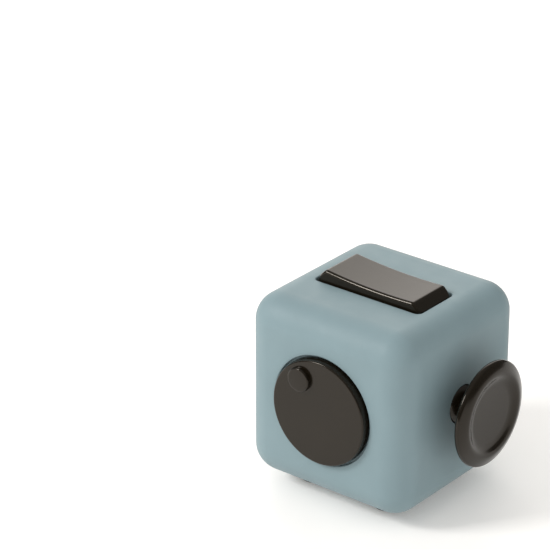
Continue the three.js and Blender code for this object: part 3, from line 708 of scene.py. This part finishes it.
def joystick():
    """Tail, ball, stalk and thumb cap in one turned piece."""
    ball, pivot, stalk, cap, top = (STICK[key] for key in ("ball", "pivot_x", "stalk", "cap", "top"))
    tail, tail_end = STICK_TAIL["radius"], STICK_TAIL["end"]
    start = 180 - math.degrees(math.asin(tail / ball))
    end = math.degrees(math.asin(stalk / ball))
    steps = 40
    ball_part = []
    for i in range(steps + 1):
        angle = math.radians(start + (end - start) * i / steps)
        ball_part.append((ball * math.sin(angle), pivot + ball * math.cos(angle)))
    tail_part = rounded([(0, tail_end), (tail, tail_end, 0.25), ball_part[0]])[:-1]
    cap_part = rounded(
        [
            ball_part[-1],
            (stalk, top - 3.1, 0.5),
            (stalk + 0.9, top - 2.5, 0.5),
            (cap - 0.9, top - 1.9, 0.6),
            (cap, top - 1.6, 0.35),
            (cap, top - 0.85, 0.35),
            (cap - 1.4, top - 0.14, 0.7),
            (7, top, 0.5),
            (5.6, top - 0.68, 0.7),
            (0, top - 0.7),
        ]
    )
    return lathe(tail_part + ball_part + cap_part[1:], "x", sides=2 * SIDES)


# ---- thumb gears ----

def gear_outline(inset):
    """Wide rounded teeth with narrow notches, drawn smaller by an inset."""
    points = []
    steps = 20
    for tooth in range(GEAR["teeth"]):
        for i in range(steps):
            across = math.sin(math.pi / 2 * (2 * i / steps - 1))
            height = (1 - abs(across) ** 8) ** 0.5
            radius = GEAR["root"] + (GEAR["tip"] - GEAR["root"]) * height - inset
            angle = (tooth + across / 2) * 2 * math.pi / GEAR["teeth"]
            points.append((radius * math.cos(angle), radius * math.sin(angle)))
    return points


def gear(node):
    """A toothed wheel with rounded sides, on a hub that spaces it from its neighbours."""
    round_off = 0.3
    steps = 4
    sides = []
    for i in range(steps + 1):
        angle = math.radians(90 * i / steps)
        level = GEAR["half_width"] - round_off * (1 - math.cos(angle))
        sides.append((gear_outline(round_off * (1 - math.sin(angle))), level))
    wheel = stack("x", [(outline, -level) for outline, level in sides] + sides[::-1])
    low, high = ((corner.x - CENTRE.x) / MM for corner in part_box(node))
    x = middle(node).x if node == "gear_middle" else math.copysign(GEAR["pitch"], middle(node).x)
    hub = rod("x", GEAR_HUB["radius"], low - x, high - x, sides=48)
    wheel = cut(join(wheel, hub), rod("x", GEAR_HUB["bore"], -10, 10, sides=48))
    wheel.data.transform(Matrix.Translation((x, GEAR["y"], GEAR["z"])))
    return wheel


GEARS = ("gear_left", "gear_middle", "gear_right")
BUTTON_PLACES = ("middle", "front_left", "front_right", "back_left", "back_right")
BUTTONS = tuple("button_" + place for place in BUTTON_PLACES)

finish(casing(), "casing", "shell", "body_shell")
finish(cover(), "cover", "shell", "thumb_panel")
for node in BUTTONS:
    finish(button(middle(node)), node.replace("button", "button_cap"), "controls", node)
finish(rocker(), "rocker_key", "controls", "rocker")
finish(dial(), "dial_disc", "controls", "dial")
finish(joystick(), "stick", "controls", "joystick")
for node in GEARS:
    finish(gear(node), node.replace("gear", "thumb_gear"), "controls", node)
finish(sphere(BALL["radius"], (0, BALL["y"], BALL["z"])), "steel_ball", "ball", "click_ball")


# ---- floor, light and camera ----

def floor():
    """A pale card that the cube stands on, two metres out from it each way."""
    mesh = bpy.data.meshes.new("floor")
    half = 2
    corners = [(-half, -half, 0), (half, -half, 0), (half, half, 0), (-half, half, 0)]
    mesh.from_pydata(corners, [], [(0, 1, 2, 3)])
    ground = bpy.data.objects.new("floor", mesh)
    bpy.context.scene.collection.objects.link(ground)
    glow = {"Emission Color": (1, 0.98, 0.95, 1), "Emission Strength": 0.15}
    card = material("white_card", (0.88, 0.87, 0.86), 0.01, (0.7, 0.8), 0.5, 0.002, **glow)
    ground.data.materials.append(card)


def area_light(name, direction, distance, size, power, colour):
    """A square soft light that faces the cube from a direction; distance and size are in metres."""
    light = bpy.data.lights.new(name, "AREA")
    light.size = size
    light.energy = power
    light.color = colour
    lamp = bpy.data.objects.new(name, light)
    bpy.context.scene.collection.objects.link(lamp)
    towards = Vector(direction).normalized()
    lamp.location = CENTRE + towards * distance
    lamp.rotation_euler = towards.to_track_quat("Z", "Y").to_euler()
    lamp.visible_camera = False


def surroundings():
    """Even soft light, which polished surfaces see as a dim room under a bright ceiling."""
    world = bpy.data.worlds.new("studio")
    world.use_nodes = True
    tree = world.node_tree
    way = add_node(tree, "TexCoord").outputs["Generated"]
    front_right = {0: way, 1: (0.62, -0.78, 0)}
    facing = add_node(tree, "VectorMath", front_right, operation="DOT_PRODUCT").outputs["Value"]
    fill = {"Value": facing, "From Min": -1, "From Max": 1, "To Min": 0.52, "To Max": 1.08}
    height = add_node(tree, "SeparateXYZ", {"Vector": way}).outputs["Z"]
    room = {"Value": height, "From Min": 0.1, "From Max": 0.9, "To Min": 0.1, "To Max": 0.4}
    is_reflection = {"Factor": add_node(tree, "LightPath").outputs["Is Glossy Ray"]}
    strength = add_node(tree, "Mix", is_reflection, data_type="FLOAT")
    tree.links.new(add_node(tree, "MapRange", fill).outputs["Result"], strength.inputs[2])
    tree.links.new(add_node(tree, "MapRange", room).outputs["Result"], strength.inputs[3])
    background = tree.nodes["Background"]
    background.inputs["Color"].default_value = (1, 0.99, 0.97, 1)
    tree.links.new(strength.outputs[0], background.inputs["Strength"])
    bpy.context.scene.world = world
    area_light("key", (-0.54, -0.62, 0.57), 0.9, 0.25, 4.8, (1, 0.99, 0.97))
    area_light("back", (-0.5658, 0.7062, 0.4256), 1.2, 0.9, 5.4, (1, 0.96, 0.91))
    bpy.context.scene.view_settings.view_transform = "Standard"


def camera():
    """Looks down at the corner between the dial and the joystick, from the photograph's side."""
    azimuth, elevation = math.radians(38.7), math.radians(25.19)
    distance = 0.474
    towards = Vector((
        math.cos(elevation) * math.sin(azimuth),
        -math.cos(elevation) * math.cos(azimuth),
        math.sin(elevation),
    ))
    turn = towards.to_track_quat("Z", "Y")
    lens = bpy.data.cameras.new("camera")
    lens.lens = 184.8
    lens.sensor_width = 36
    eye = bpy.data.objects.new("camera", lens)
    bpy.context.scene.collection.objects.link(eye)
    aim = turn @ Vector((-0.01796, 0.01685, 0))
    eye.location = CENTRE + aim + towards * distance
    eye.rotation_euler = turn.to_euler()
    bpy.context.scene.camera = eye


floor()
surroundings()
camera()
